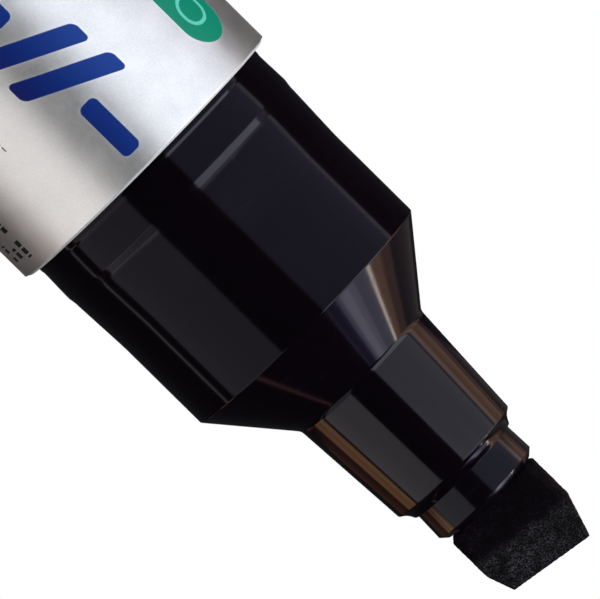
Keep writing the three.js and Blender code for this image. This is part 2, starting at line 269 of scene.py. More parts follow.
def makeScratchGroup():
    inputs = [("Vector", "Vector", None), ("Amount", "Float", 0.5)]
    group, inside, out = newGroup("hairScratches", inputs, ["Mask"])
    calc = partial(mathNode, group)
    masks = []
    for turn, stretch in (hairs["along"], hairs["across"]):
        mapping = addNode(group, "ShaderNodeMapping")
        group.links.new(inside["Vector"], mapping.inputs["Vector"])
        mapping.inputs["Rotation"].default_value = turn
        mapping.inputs["Scale"].default_value = stretch
        high = calc("SUBTRACT", noiseNode(group, mapping.outputs[0], 1)[0], hairs["start"])
        masks.append(calc("MULTIPLY", high, hairs["sharpness"], True))
    both = calc("MAXIMUM", masks[0], masks[1])
    group.links.new(calc("MULTIPLY", both, inside["Amount"]), out["Mask"])
    return group


# distance from a bar with round corners, on a plane whose u and v are in mm; Slant leans its ends
def makeBarGroup():
    defaults = {"U": 0, "V": 0, "Middle U": 0, "Middle V": 0, "Half U": 1, "Half V": 1, "Corner": 0.3,
                "Slant": 0}
    inputs = [(label, "Float", value) for label, value in defaults.items()]
    group, inside, out = newGroup("roundedBar", inputs, ["Distance"])
    calc = partial(mathNode, group)
    u = calc("SUBTRACT", inside["U"], inside["Middle U"])
    v = calc("SUBTRACT", inside["V"], inside["Middle V"])
    leaned = calc("SUBTRACT", v, calc("MULTIPLY", u, inside["Slant"]))
    squares = []
    for value, half in ((u, inside["Half U"]), (leaned, inside["Half V"])):
        inner = calc("SUBTRACT", half, inside["Corner"])
        away = calc("SUBTRACT", calc("ABSOLUTE", value), inner)
        squares.append(calc("POWER", calc("MAXIMUM", away, 0), 2))
    reach = calc("SQRT", calc("ADD", squares[0], squares[1]))
    group.links.new(calc("SUBTRACT", reach, inside["Corner"]), out["Distance"])
    return group


grainGroup = makeGrainGroup()
wearGroup = makeWearGroup()
scratchGroup = makeScratchGroup()
barGroup = makeBarGroup()


# ---- materials

def newMaterial(name):
    material = bpy.data.materials.new(name)
    material.use_nodes = True
    tree = material.node_tree
    coords = addNode(tree, "ShaderNodeTexCoord").outputs["Object"]
    return material, tree, tree.nodes["Principled BSDF"], coords


def bumpInto(tree, shader, height, strength, distance):
    bump = addNode(tree, "ShaderNodeBump")
    bump.inputs["Strength"].default_value = strength
    bump.inputs["Distance"].default_value = distance * mm
    tree.links.new(height, bump.inputs["Height"])
    tree.links.new(bump.outputs[0], shader.inputs["Normal"])


# moulded plastic: base colour, a worn tint on the edges, uneven gloss and a faint ripple
def plasticMaterial(name, colour, worn, roughness, ior=1.42, ripple=0.12, grainSize=0.6, scratches=0.4,
                    sheen=(1, 1, 1)):
    material, tree, shader, coords = newMaterial(name)
    calc = partial(mathNode, tree)
    grain = placeGroup(tree, grainGroup, Vector=coords, Size=grainSize, Contrast=1.4)
    wear = placeGroup(tree, wearGroup, Vector=coords)["Mask"]
    scratch = placeGroup(tree, scratchGroup, Vector=coords, Amount=scratches)["Mask"]
    base = mixColour(tree, grain["Mask"], [c * 0.7 for c in colour], colour)
    rubbed = calc("MAXIMUM", wear, calc("MULTIPLY", scratch, 0.3), True)
    tree.links.new(mixColour(tree, rubbed, base, worn), shader.inputs["Base Color"])
    spread = calc("MULTIPLY", grain["Mask"], roughness * 0.5)
    level = calc("ADD", spread, roughness * 0.75)
    marked = calc("ADD", level, calc("MULTIPLY", scratch, 0.12))
    rough = calc("ADD", marked, calc("MULTIPLY", rubbed, 0.15), True)
    tree.links.new(rough, shader.inputs["Roughness"])
    bumpInto(tree, shader, grain["Height"], ripple, 0.02)
    shader.inputs["IOR"].default_value = ior
    shader.inputs["Specular Tint"].default_value = (*sheen, 1)
    return material


# bare or plated metal with fine drawn lines
def metalMaterial(name, colour, roughness, lineSize=0.12):
    material, tree, shader, coords = newMaterial(name)
    calc = partial(mathNode, tree)
    grain = placeGroup(tree, grainGroup, Vector=coords, Size=lineSize, Contrast=1.3)
    scratch = placeGroup(tree, scratchGroup, Vector=coords, Amount=0.7)["Mask"]
    base = mixColour(tree, grain["Mask"], [c * 0.8 for c in colour], colour)
    tree.links.new(base, shader.inputs["Base Color"])
    level = calc("ADD", calc("MULTIPLY", grain["Mask"], 0.12), roughness)
    rough = calc("ADD", level, calc("MULTIPLY", scratch, 0.2), True)
    tree.links.new(rough, shader.inputs["Roughness"])
    shader.inputs["Metallic"].default_value = 1
    bumpInto(tree, shader, grain["Height"], 0.15, 0.01)
    return material


rubber = {"dark": (0.010, 0.010, 0.011), "pale": (0.028, 0.028, 0.030), "roughness": 0.6}


def rubberMaterial(name):
    material, tree, shader, coords = newMaterial(name)
    calc = partial(mathNode, tree)
    grain = placeGroup(tree, grainGroup, Vector=coords, Size=0.25, Contrast=1.6)
    base = mixColour(tree, grain["Mask"], rubber["dark"], rubber["pale"])
    tree.links.new(base, shader.inputs["Base Color"])
    rough = calc("ADD", calc("MULTIPLY", grain["Mask"], 0.2), rubber["roughness"])
    tree.links.new(rough, shader.inputs["Roughness"])
    bumpInto(tree, shader, grain["Height"], 0.3, 0.03)
    return material


# pressed fibre soaked with ink: smooth and dark on the moulded sides; the paler fibres on the ground tip are
# painted light, standing in for the up-facing bevel lit by the lamps
felt = {"fibreSize": 0.24, "patchSize": 1.1, "contrast": 3.2, "depth": 0.08, "groundStart": 3.9, "slant": 9.3,
        "dark": (0.0008, 0.0005, 0.001), "soaked": (0.02, 0.009, 0.023), "pale": (0.13, 0.12, 0.14)}


# thin winding lines where a noise crosses its middle value
def fibreRidge(tree, vector, scale):
    calc = partial(mathNode, tree)
    noise = noiseNode(tree, vector, scale / (felt["fibreSize"] * mm), detail=2.5, roughness=0.55)[0]
    folded = calc("ABSOLUTE", calc("SUBTRACT", noise, 0.5))
    return calc("SUBTRACT", 1.0, calc("MULTIPLY", folded, 10), True)


def feltMaterial(name):
    material, tree, shader, coords = newMaterial(name)
    calc = partial(mathNode, tree)
    warp = noiseNode(tree, coords, 1 / (felt["fibreSize"] * 1.6 * mm))["Color"]
    bent = addNode(tree, "ShaderNodeVectorMath", operation="MULTIPLY_ADD")
    tree.links.new(warp, bent.inputs[0])
    bent.inputs[1].default_value = (felt["fibreSize"] * 1.2 * mm,) * 3
    tree.links.new(coords, bent.inputs[2])
    coarse = fibreRidge(tree, bent.outputs[0], 1.0)
    thin = fibreRidge(tree, bent.outputs[0], 1.9)
    fibre = calc("MAXIMUM", coarse, calc("MULTIPLY", thin, 0.7))
    patch = noiseNode(tree, coords, 1 / (felt["patchSize"] * mm), detail=3)[0]
    patchy = calc("ADD", calc("MULTIPLY", patch, 1.0), 0.25, True)
    share = calc("POWER", calc("MULTIPLY", fibre, patchy, True), felt["contrast"])
    # how far past the start of the ground tip, along the slanted edge's normal
    parts = addNode(tree, "ShaderNodeSeparateXYZ")
    tree.links.new(coords, parts.inputs[0])
    lean = calc("MULTIPLY", parts.outputs[0], math.tan(math.radians(felt["slant"])))
    level = calc("ADD", parts.outputs[2], lean)
    past = calc("SUBTRACT", level, (holderFront + felt["groundStart"]) * mm)
    uneven = calc("MULTIPLY", calc("SUBTRACT", patch, 0.5), 1.5)
    ragged = calc("ADD", uneven, 0.5)
    # painted light: past the start of the ground tip the fibres turn pale, as the up-facing bevel under the
    # lamps; the sides keep the dark soaked colour
    litTipShare = calc("ADD", calc("MULTIPLY", past, 1.4 / mm), ragged, True)
    paintedTipColour = mixColour(tree, litTipShare, felt["soaked"], felt["pale"])
    tree.links.new(mixColour(tree, share, felt["dark"], paintedTipColour), shader.inputs["Base Color"])
    rough = calc("SUBTRACT", 0.9, calc("MULTIPLY", share, 0.3))
    tree.links.new(rough, shader.inputs["Roughness"])
    bumpInto(tree, shader, fibre, 0.9, felt["depth"])
    shader.inputs["Specular IOR Level"].default_value = 0.06
    return material


# ---- the silver film and its print; turns in degrees round the axis, 0 facing the front, + to the right
film = {
    "silver": (0.95, 0.94, 0.92), "roughness": 0.36, "grainSize": 0.16, "edge": 0.05,
    "blueTop": (0.004, 0.04, 0.25), "blueBottom": (0.002, 0.008, 0.11), "green": (0.0, 0.20, 0.12),
    "black": (0.008, 0.008, 0.009), "halo": 0.35, "haloColour": (0.9, 0.94, 1.0),
    # blue marks along the front: turn, depth from the front rim, half sizes round and along, slant; all in mm
    "markCorner": 0.55,
    "marks": [(-3, 4.45, 0.9, 2.8, 0.0), (-5, 9.8, 4.1, 1.0, 0.5), (-3, 13.6, 4.1, 1.0, 0.5),
              (-3, 19.2, 0.9, 2.8, 0.0), (-4, 24.6, 4.1, 1.05, 0.55), (-3, 31.0, 1.05, 3.2, 0.0),
              (-4, 37.5, 4.1, 1.05, 0.55)],
    "pillDepth": 13.2, "pillHalfLength": 10.25, "pillTurn": -58, "pillHalfWidth": 2.6,
    "ringDepth": 6.3, "ringHalf": 1.35, "ringStroke": 0.17, "ringColour": (0.10, 0.5, 0.4),
}
# blocks of fine print: turn, depth, half sizes round and along; then the rows and dashes that fill them
finePrint = {"blocks": [(66, 42, 2.3, 40.7), (34, 38, 1.3, 30), (150, 42, 5, 36)], "corner": 0.2,
             "rowGap": 1.5, "rowStart": 0.36, "rowJump": 7.3, "dashGap": 0.8, "dashStart": 0.09,
             "wordStretch": 0.9, "wordStart": 0.42}


# rows of short black dashes stand in for fine print
def finePrintMask(tree, around, down):
    calc = partial(mathNode, tree)
    row = calc("SNAP", around, finePrint["rowGap"])
    spot = addNode(tree, "ShaderNodeCombineXYZ")
    tree.links.new(calc("MULTIPLY", down, finePrint["wordStretch"]), spot.inputs[0])
    tree.links.new(calc("MULTIPLY", row, finePrint["rowJump"]), spot.inputs[1])
    words = noiseNode(tree, spot.outputs[0], 1, detail=0, dimensions="2D")[0]
    inWord = calc("GREATER_THAN", words, finePrint["wordStart"])
    acrossRow = calc("PINGPONG", around, finePrint["rowGap"] / 2)
    inRow = calc("GREATER_THAN", acrossRow, finePrint["rowStart"])
    alongDash = calc("PINGPONG", down, finePrint["dashGap"] / 2)
    inDash = calc("GREATER_THAN", alongDash, finePrint["dashStart"])
    return calc("MULTIPLY", calc("MULTIPLY", inWord, inRow), inDash)


def filmMaterial(name):
    material, tree, shader, coords = newMaterial(name)
    calc = partial(mathNode, tree)
    parts = addNode(tree, "ShaderNodeSeparateXYZ")
    tree.links.new(coords, parts.inputs[0])
    x, y, z = parts.outputs
    # round the barrel in mm, from the front, and down from the front rim in mm
    turn = calc("ARCTAN2", x, calc("MULTIPLY", y, -1))
    around = calc("MULTIPLY", turn, labelRadius)
    down = calc("SUBTRACT", barrelFront, calc("MULTIPLY", z, 1 / mm))

    def bar(middleTurn, middleDown, halfAround, halfDown, corner, slant=0.0):
        sizes = {"Middle U": math.radians(middleTurn) * labelRadius, "Middle V": middleDown,
                 "Half U": halfAround, "Half V": halfDown, "Corner": corner, "Slant": slant}
        return placeGroup(tree, barGroup, U=around, V=down, **sizes)["Distance"]

    def nearest(distances):
        found = distances[0]
        for distance in distances[1:]:
            found = calc("MINIMUM", found, distance)
        return found

    def inked(distance, edge, softness):
        past = calc("SUBTRACT", distance, edge)
        return calc("SUBTRACT", 0.5, calc("DIVIDE", past, softness), True)

    blue = nearest([bar(turned, depth, halfAround, halfAlong, film["markCorner"], slant)
                    for turned, depth, halfAround, halfAlong, slant in film["marks"]])
    pill = bar(film["pillTurn"], film["pillDepth"], film["pillHalfWidth"], film["pillHalfLength"],
               film["pillHalfWidth"])
    ringHalf = film["ringHalf"]
    ring = bar(film["pillTurn"], film["ringDepth"], ringHalf, ringHalf, ringHalf * 0.9)
    blocks = nearest([bar(*block, finePrint["corner"]) for block in finePrint["blocks"]])
    blueMask = inked(blue, 0, film["edge"])
    greenMask = inked(pill, 0, film["edge"])
    ringMask = inked(calc("ABSOLUTE", ring), film["ringStroke"], 0.06)
    blackMask = calc("MULTIPLY", finePrintMask(tree, around, down), inked(blocks, 0, film["edge"]))

    grain = placeGroup(tree, grainGroup, Vector=coords, Size=film["grainSize"], Contrast=1.7)
    silver = mixColour(tree, grain["Mask"], [c * 0.78 for c in film["silver"]], film["silver"])
    halo = inked(calc("MINIMUM", blue, pill), 0.32, 0.25)
    silver = mixColour(tree, calc("MULTIPLY", halo, film["halo"]), silver, film["haloColour"])
    fade = calc("MULTIPLY", calc("ADD", around, 4.5), 0.14, True)
    printed = mixColour(tree, blueMask, silver, mixColour(tree, fade, film["blueTop"], film["blueBottom"]))
    printed = mixColour(tree, greenMask, printed, film["green"])
    printed = mixColour(tree, ringMask, printed, film["ringColour"])
    printed = mixColour(tree, blackMask, printed, film["black"])
    tree.links.new(printed, shader.inputs["Base Color"])
    inkMask = calc("MAXIMUM", calc("MAXIMUM", blueMask, greenMask), blackMask)
    metal = calc("SUBTRACT", 1.0, calc("MULTIPLY", inkMask, 0.97))
    tree.links.new(metal, shader.inputs["Metallic"])
    rough = calc("ADD", calc("MULTIPLY", grain["Mask"], 0.14), film["roughness"] - 0.07)
    tree.links.new(rough, shader.inputs["Roughness"])
    relief = calc("ADD", grain["Height"], calc("MULTIPLY", inkMask, 0.8))
    bumpInto(tree, shader, relief, 0.22, 0.012)
    shader.inputs["Specular IOR Level"].default_value = 0.2
    return material


blackGloss = plasticMaterial("blackGloss", (0.0026, 0.0012, 0.0028), (0.02, 0.02, 0.024), 0.10, ior=1.283,
                             ripple=0.03, grainSize=1.6, scratches=0.25, sheen=(0.86, 0.84, 1.0))
collarBlack = plasticMaterial("collarBlack", (0.0026, 0.0014, 0.003), (0.02, 0.02, 0.024), 0.13, ior=1.365,
                              ripple=0.04, grainSize=1.1, scratches=0.3, sheen=(0.9, 0.9, 1.0))
capBlack = plasticMaterial("capBlack", (0.006, 0.006, 0.008), (0.04, 0.04, 0.045), 0.22, ripple=0.05,
                           grainSize=1.2, scratches=0.5)
silverRim = plasticMaterial("silverRim", (0.62, 0.63, 0.65), (0.85, 0.86, 0.88), 0.35, ripple=0.06,
                            grainSize=0.3)
whiteMoulding = plasticMaterial("whiteMoulding", (0.78, 0.78, 0.75), (0.9, 0.9, 0.88), 0.42, ripple=0.08)
milkyMoulding = plasticMaterial("milkyMoulding", (0.66, 0.68, 0.62), (0.8, 0.82, 0.76), 0.4, ripple=0.08)
ballSteel = metalMaterial("ballSteel", (0.72, 0.73, 0.75), 0.12)
springSteel = metalMaterial("springSteel", (0.66, 0.67, 0.69), 0.26, lineSize=0.06)
sealRubber = rubberMaterial("sealRubber")
inkedFelt = feltMaterial("inkedFelt")
silverFilm = filmMaterial("silverFilm")
print("materials ready")


def finishPiece(piece, material, body, slot, *nodes):
    piece.data.materials.clear()
    piece.data.materials.append(material)
    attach(piece, body)
    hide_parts(*nodes)


# ---- front section: seat for the cap, snap bead, shoulder and nose, in mm from the front end of the barrel
seat = {"socketRadius": 12.7, "front": 12.45, "lip": 0.05, "lipLength": 0.42, "lipFade": 0.3, "lipStart": 0.1,
        "ridgePlace": 3.65, "ridgeRise": 0.08, "flank": 0.68, "flankDrop": 0.1, "fade": 5.6,
        "endChamfer": 0.5}
nose = {"seatLength": 18.7, "footRadius": 7.1, "footHeight": 25.2, "tipRadius": 6.48, "tipHeight": 36.0,
        "mouthRadius": 5.46, "mouthHeight": 37.05, "mouthLand": 0.1, "cove": 0.1, "stopHeight": 31.05,
        "boreRadius": 5.91, "tubeRadius": 7.31, "tubeBack": 11.82, "wall": 1.6, "coneWall": 2.55,
        "sealPlace": 8.0, "rounding": 0.1, "shoulderRounding": 0.22, "footFillet": 0.9, "tipRounding": 0.2}


# points along a step from one (radius, height) to another: straight at sharpness 0, with soft ends above it
def softStep(start, end, steps, sharpness):
    points = []
    for i in range(1, steps + 1):
        share = i / steps
        bent = share - sharpness * math.sin(2 * math.pi * share) / (2 * math.pi)
        points.append((start[0] + (end[0] - start[0]) * bent, start[1] + (end[1] - start[1]) * share))
    return points


# root of the seat with its small lip, a low snap ridge, then a long soft slope down to the cylinder
def seatOutline(base, direction=1):
    root, ridge = seat["socketRadius"], seat["socketRadius"] + seat["ridgeRise"]
    lipEnd = (root + seat["lip"], seat["lipLength"])
    lipFoot = (root, seat["lipLength"] + seat["lipFade"])
    rise = (ridge, seat["ridgePlace"])
    flankFoot = (ridge - seat["flankDrop"], seat["ridgePlace"] + seat["flank"])
    end = (seat["front"], flankFoot[1] + seat["fade"])
    points = [(root + seat["lip"], seat["lipStart"]), lipEnd]
    points += softStep(lipEnd, lipFoot, 5, 0.3)
    points += softStep(lipFoot, rise, 8, 0.3)
    points += softStep(rise, flankFoot, 8, 0)
    points += softStep(flankFoot, end, 10, 0.12)
    return [(r, base + direction * z) for r, z in points]


def sealGroove(base, direction, place, depth=1.0, width=1.6):
    root = seat["socketRadius"]
    steps = [(root, place + width), (root - depth, place + width), (root - depth, place), (root, place)]
    return [(r, base - direction * z) for r, z in steps]


# the hollow chamfer between the nose's tip and its mouth
def coveOutline(base):
    mouth = Vector((nose["mouthRadius"] + nose["mouthLand"], base + nose["mouthHeight"]))
    tip = Vector((nose["tipRadius"], base + nose["tipHeight"]))
    points = []
    for share in (0.25, 0.5, 0.75):
        hollow = nose["cove"] * math.sin(math.pi * share)
        points.append(tuple(tip.lerp(mouth, share) - Vector((hollow, hollow))))
    return points


def makeFrontSection():
    base = barrelFront
    back = heightsOf("front_section")[0]
    root, radius = seat["socketRadius"], seat["front"]
    inner = radius - nose["wall"]
    coneFoot = base + nose["seatLength"]
    stop, tubeBack = base + nose["stopHeight"], base + nose["tubeBack"]
    mouthRadius, mouth = nose["mouthRadius"], base + nose["mouthHeight"]
    slope = (radius - nose["footRadius"]) / (nose["footHeight"] - nose["seatLength"])
    pocket = [(r, coneFoot + (radius - r) / slope - nose["coneWall"]) for r in (nose["tubeRadius"], inner)]
    cove = coveOutline(base)
    # the first and last points only guide the rounding beside them
    shoulder = roundedOutline([(radius, base),
                               (radius, coneFoot, nose["shoulderRounding"]),
                               (nose["footRadius"], base + nose["footHeight"], nose["footFillet"]),
                               (nose["tipRadius"], base + nose["tipHeight"], nose["tipRounding"]),
                               cove[0]])[1:-1]
    outline = ([(inner, back), (root - seat["endChamfer"], back), (root, back + seat["endChamfer"])]
               + sealGroove(base, 1, nose["sealPlace"])
               + seatOutline(base)
               + shoulder
               + cove
               + [(mouthRadius + nose["mouthLand"], mouth), (mouthRadius, mouth), (mouthRadius, stop),
                  (nose["boreRadius"], stop), (nose["boreRadius"], tubeBack), (nose["tubeRadius"], tubeBack)]
               + pocket)
    piece = spunPiece("frontShell", outline, sides=160)
    softenEdges(piece, nose["rounding"])
    finishPiece(piece, blackGloss, "barrel_unit", "black_plastic", "front_section")
    print("front section ready")


# ---- barrel and film
barrelSizes = {"radius": 13.82, "wall": 1.07, "chamfer": 0.18, "frontSocket": 13.5, "tailSocket": 10.5,
               "socketStep": 0.55, "film": 0.15}


def makeBarrel():
    radius, chamfer = barrelSizes["radius"], barrelSizes["chamfer"]
    socket = radius - barrelSizes["wall"]
    bore = socket - barrelSizes["socketStep"]
    frontStop, tailStop = barrelFront - barrelSizes["frontSocket"], barrelBack + barrelSizes["tailSocket"]
    outline = [(socket, barrelBack), (radius - chamfer, barrelBack), (radius, barrelBack + chamfer),
               (radius, barrelFront - chamfer), (radius - chamfer, barrelFront), (socket, barrelFront),
               (socket, frontStop), (bore, frontStop), (bore, tailStop), (socket, tailStop)]
    tube = spunPiece("barrelTube", outline, sides=160)
    softenEdges(tube, 0.05)
    finishPiece(tube, silverRim, "barrel_unit", "silver_plastic", "barrel")
    low, high = heightsOf("barrel_label")
    under = labelRadius - barrelSizes["film"]
    corners = [(under, low), (labelRadius, low), (labelRadius, high), (under, high)]
    wrap = spunPiece("silverWrap", corners, sides=160)
    softenEdges(wrap, 0.04, segments=2)
    finishPiece(wrap, silverFilm, "barrel_unit", "silver_label", "barrel_label")
    print("barrel ready")


# ---- nib holder: the collar that slides in the nose
holder = {"radius": 5.358, "neck": 5.25, "neckPlace": 0.35, "neckLength": 0.15, "flange": 5.81,
          "flangeThickness": 1.2, "endLength": 0.5, "endDrop": 0.55, "slotWidth": 8.5, "slotThickness": 5.1,
          "channelWidth": 1.6, "channelThickness": 6.5, "channelStop": 3.1}


# cuts a slot through the middle of a piece, from one height to another
def cutSlot(piece, width, thickness, bottom, top):
    bpy.ops.mesh.primitive_cube_add(size=mm, location=(0, 0, (bottom + top) / 2 * mm),
                                    scale=(width, thickness, top - bottom))
    combine(piece, "DIFFERENCE", settled("cutter"))


def makeHolder():
    base, front = holderBack, holderFront
    radius, shoulder = holder["radius"], holderBack + holder["flangeThickness"]
    # the collar flares from a neck that lies just inside the mouth
    neck = barrelFront + nose["mouthHeight"] - holder["neckPlace"]
    outline = [(0, base), (holder["flange"], base), (holder["flange"], shoulder), (radius, shoulder),
               (radius, neck - holder["neckLength"]), (holder["neck"], neck),
               (radius, front - holder["endLength"]), (radius - holder["endDrop"], front), (0, front)]
    collar = spunPiece("nibCollar", outline)
    channelTop = front - holder["channelStop"]
    cutSlot(collar, holder["slotWidth"], holder["slotThickness"], base - 1, front + 1)
    cutSlot(collar, holder["channelWidth"], holder["channelThickness"], base - 1, channelTop)
    softenEdges(collar, 0.09)
    finishPiece(collar, collarBlack, "nib_unit", "black_plastic", "nib_holder")
    print("nib collar ready")


# ---- nib: a felt block cut to a slanted chisel, on a narrower shank
nibSizes = {"width": 9.55, "thickness": 5.6, "corner": 0.6, "shankWidth": 8.4, "shankThickness": 5.0,
            "heel": 0.42, "reach": 8.3, "straight": 4.6, "sideTaper": 17, "slant": 9.3, "edge": 1.6,
            "bevel": 4.3, "gap": 0.1, "shankOverlap": 2, "voxel": 0.11, "fuzz": 0.10, "fuzzSize": 0.28}


def nibBlock(name, width, thickness, low, high):
    bpy.ops.mesh.primitive_cube_add(size=mm, location=(0, 0, (low + high) / 2 * mm),
                                    scale=(width, thickness, high - low))
    block = settled(name)
    editing(block)
    for sideX in (-1, 1):
        for sideY in (-1, 1):
            cutAway((sideX * (width / 2 - nibSizes["corner"]), sideY * thickness / 2, 0), (sideX, sideY, 0))
    return block


def makeNib():
    base, top = holderFront, holderFront + nibSizes["reach"]
    bottom = base + nibSizes["gap"]
    halfWidth, halfThickness = nibSizes["width"] / 2, nibSizes["thickness"] / 2
    taper, slant = math.radians(nibSizes["sideTaper"]), math.radians(nibSizes["slant"])
    step = halfWidth - nibSizes["shankWidth"] / 2
    head = nibBlock("feltNib", nibSizes["width"], nibSizes["thickness"], bottom, top)
    for side in (-1, 1):
        cutAway((side * halfWidth, 0, base + nibSizes["straight"]),
                (side * math.cos(taper), 0, math.sin(taper)))
        cutAway((side * halfWidth, 0, bottom + nibSizes["heel"]), (side * nibSizes["heel"], 0, -step))
    cornerX = (nibSizes["reach"] - nibSizes["straight"]) * math.tan(taper) - halfWidth
    cutAway((cornerX, 0, top), (math.sin(slant), 0, math.cos(slant)))
    along = Vector((math.cos(slant), 0, -math.sin(slant)))
    for side in (-1, 1):
        fall = Vector((0, side * (halfThickness - nibSizes["edge"] / 2), -nibSizes["bevel"]))
        outward = fall.cross(along) * -side
        cutAway((cornerX, side * nibSizes["edge"] / 2, top), outward.normalized())
    objectMode()
    shank = nibBlock("shank", nibSizes["shankWidth"], nibSizes["shankThickness"], heightsOf("nib")[0],
                     base + nibSizes["shankOverlap"])
    objectMode()
    combine(head, "UNION", shank)
    softenNib(head)
    finishPiece(head, inkedFelt, "nib_unit", "inked_felt", "nib")
    print("nib ready")


# the fibres stand up unevenly, so the block is remeshed finely and pushed in by a soft noise
def softenNib(head):
    applyModifier(head, "REMESH", mode="VOXEL", voxel_size=nibSizes["voxel"] * mm)
    applyModifier(head, "SMOOTH", factor=0.5, iterations=2)
    fuzz = bpy.data.textures.new("fibreFuzz", "CLOUDS")
    fuzz.noise_scale = nibSizes["fuzzSize"] * mm
    fuzz.noise_depth = 2
    applyModifier(head, "DISPLACE", texture=fuzz, texture_coords="LOCAL", strength=nibSizes["fuzz"] * mm,
                  mid_level=0.85)
    selectOnly(head)
    bpy.ops.object.shade_smooth()


# ---- cap, posted on the tail
capSizes = {"length": 54.0, "draft": 0.35, "edge": 1.3, "wall": 1.1, "floor": 1.6, "bore": 12.93,
            "grooveDepth": 0.08, "grooveHalf": 0.7, "grooveGap": 0.3, "linerRadius": 8.2, "linerGap": 0.05,
            "socketHeight": 5.0, "socketWall": 1.0}


def makeCap():
    rim, length, bore = labelRadius, capSizes["length"], capSizes["bore"]
    top = rim - capSizes["draft"]
    edge, inner = capSizes["edge"], top - capSizes["wall"]
    groove, half = length + capSizes["grooveGap"] - seat["ridgePlace"], capSizes["grooveHalf"]
    socket = capSizes["linerRadius"] + capSizes["linerGap"]
    collar = socket + capSizes["socketWall"]
    floor, height = capSizes["floor"], capSizes["floor"] + capSizes["socketHeight"]
    outline = ([(0, 0)] + arc(top - edge, edge, edge, -90, 0, 10)
               + [(rim, length), (bore, length), (bore, groove + half),
                  (bore + capSizes["grooveDepth"], groove), (bore, groove - half), (inner, height),
                  (inner, floor), (collar, floor), (collar, height), (socket, height), (socket, floor),
                  (0, floor)])
    cap = spunPiece("capShell", outline, sides=160)
    softenEdges(cap, 0.12)
    finishPiece(cap, capBlack, "cap", "black_plastic", "cap_shell")
    print("cap ready")


# ---- tail plug, which closes the barrel and carries the posted cap
tail = {"length": 14.0, "depth": 10.4, "sealPlace": 5.0, "wall": 1.6, "chamfer": 0.9, "rounding": 0.4,
        "margin": 3.0, "recess": 0.5, "recessRounding": 0.15, "gateRadius": 1.1, "gateRise": 0.2}


def makeTailPlug():
    base = barrelBack
    root, radius = seat["socketRadius"], seat["front"]
    inner = radius - tail["wall"]
    back = base + tail["depth"]
    end = base - tail["length"]
    floor = end + tail["recess"]
    recess = radius - tail["margin"]
    inside, gate = end + tail["wall"], floor - tail["gateRise"]
    outline = ([(0, inside), (inner, inside), (inner, back), (root - seat["endChamfer"], back),
                (root, back - seat["endChamfer"])]
               + sealGroove(base, -1, tail["sealPlace"])
               + seatOutline(base, -1)
               + roundedOutline([(radius, base), (radius, end + tail["chamfer"], tail["rounding"]),
                                 (radius - tail["chamfer"], end, tail["rounding"]),
                                 (recess, end, tail["recessRounding"]),
                                 (recess - tail["recess"], floor, tail["recessRounding"]),
                                 (tail["gateRadius"], floor)])[1:]
               + [(tail["gateRadius"] - 0.2, gate), (0, gate)])
    plug = spunPiece("tailPlug", outline, sides=160)
    softenEdges(plug, 0.08)
    finishPiece(plug, capBlack, "barrel_unit", "black_plastic", "tail_plug")
    print("tail plug ready")


# ---- liner that closes over the nose when the marker is capped
liner = {"wall": 1.0, "floor": 1.0, "rounding": 0.4, "footRounding": 0.3, "floorRounding": 0.8}


def makeLiner():
    low, high = heightsOf("cap_liner")
    radius, floor = capSizes["linerRadius"], low + liner["floor"]
    bore = radius - liner["wall"]
    outline = roundedOutline([(0, low), (radius, low, liner["footRounding"]),
                              (radius, high, liner["rounding"]), (bore, high, liner["rounding"]),
                              (bore, floor, liner["floorRounding"]), (0, floor)])
    cup = spunPiece("capLiner", outline, sides=96)
    softenEdges(cup, 0)
    finishPiece(cup, whiteMoulding, "cap", "white_plastic", "cap_liner")
    print("liner ready")


# ---- seal rings of oval section in the grooves of the tail plug and the front section
sealRing = {"middle": 12.225, "halfThickness": 0.47, "halfWidth": 0.71, "corners": 20}


def makeSealRings():
    for name, node in (("tailRing", "tail_seal_ring"), ("frontRing", "front_seal_ring")):
        low, high = heightsOf(node)
        turns = [2 * math.pi * i / sealRing["corners"] for i in range(sealRing["corners"])]
        section = [(sealRing["middle"] + sealRing["halfThickness"] * math.cos(t),
                    (low + high) / 2 + sealRing["halfWidth"] * math.sin(t)) for t in turns]
        ring = spunPiece(name, section, sides=128)
        softenEdges(ring, 0)
        finishPiece(ring, sealRubber, "barrel_unit", "seal_rubber", node)
    print("seal rings ready")


# ---- two steel balls that stir the ink
def makeBalls():
    for i in (1, 2):
        low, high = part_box(f"mixing_ball_{i}")
        bpy.ops.mesh.primitive_uv_sphere_add(segments=48, ring_count=24, radius=(high.z - low.z) / 2,
                                             location=(low + high) / 2)
        ball = settled(f"stirringBall{i}")
        bpy.ops.object.shade_smooth()
        finishPiece(ball, ballSteel, f"ball_{i}", "steel", f"mixing_ball_{i}")
    print("balls ready")


# ---- valve: a body with its packing, the stem that the nib presses, its spring and the disc under it
valve = {"bodyRadius": 5.86, "chamber": 4.76, "chamberGap": 0.05, "flange": 1.3, "frontWall": 1.4,
         "hole": 2.0, "stemTail": 1.2, "tailLength": 7.3, "plug": 3.0, "plugLength": 1.0, "coneLength": 1.5,
         "rod": 1.4, "pad": 3.4, "padThickness": 1.2, "guide": 1.4,
         "portRadius": 0.6, "portPlace": 3.63, "portCount": 6,
         "coil": 2.3, "wire": 0.25, "wireSides": 12, "turns": 6.5, "turnSteps": 40, "travel": 1.8}


def makeValveBody():
    low, high = heightsOf("valve_body")
    chamber, hole, radius = valve["chamber"], valve["hole"], valve["bodyRadius"]
    flangeRadius, flange = nose["tubeRadius"], low + valve["flange"]
    inside = high - valve["frontWall"]
    body = spunPiece("valveBody", roundedOutline([
        (chamber, low), (flangeRadius, low, 0.25), (flangeRadius, flange, 0.2), (radius, flange),
        (radius, high, 0.35), (hole, high, 0.2), (hole, inside), (chamber, inside)]), sides=96)
    softenEdges(body, 0.05)
    finishPiece(body, milkyMoulding, "barrel_unit", "natural_plastic", "valve_body")


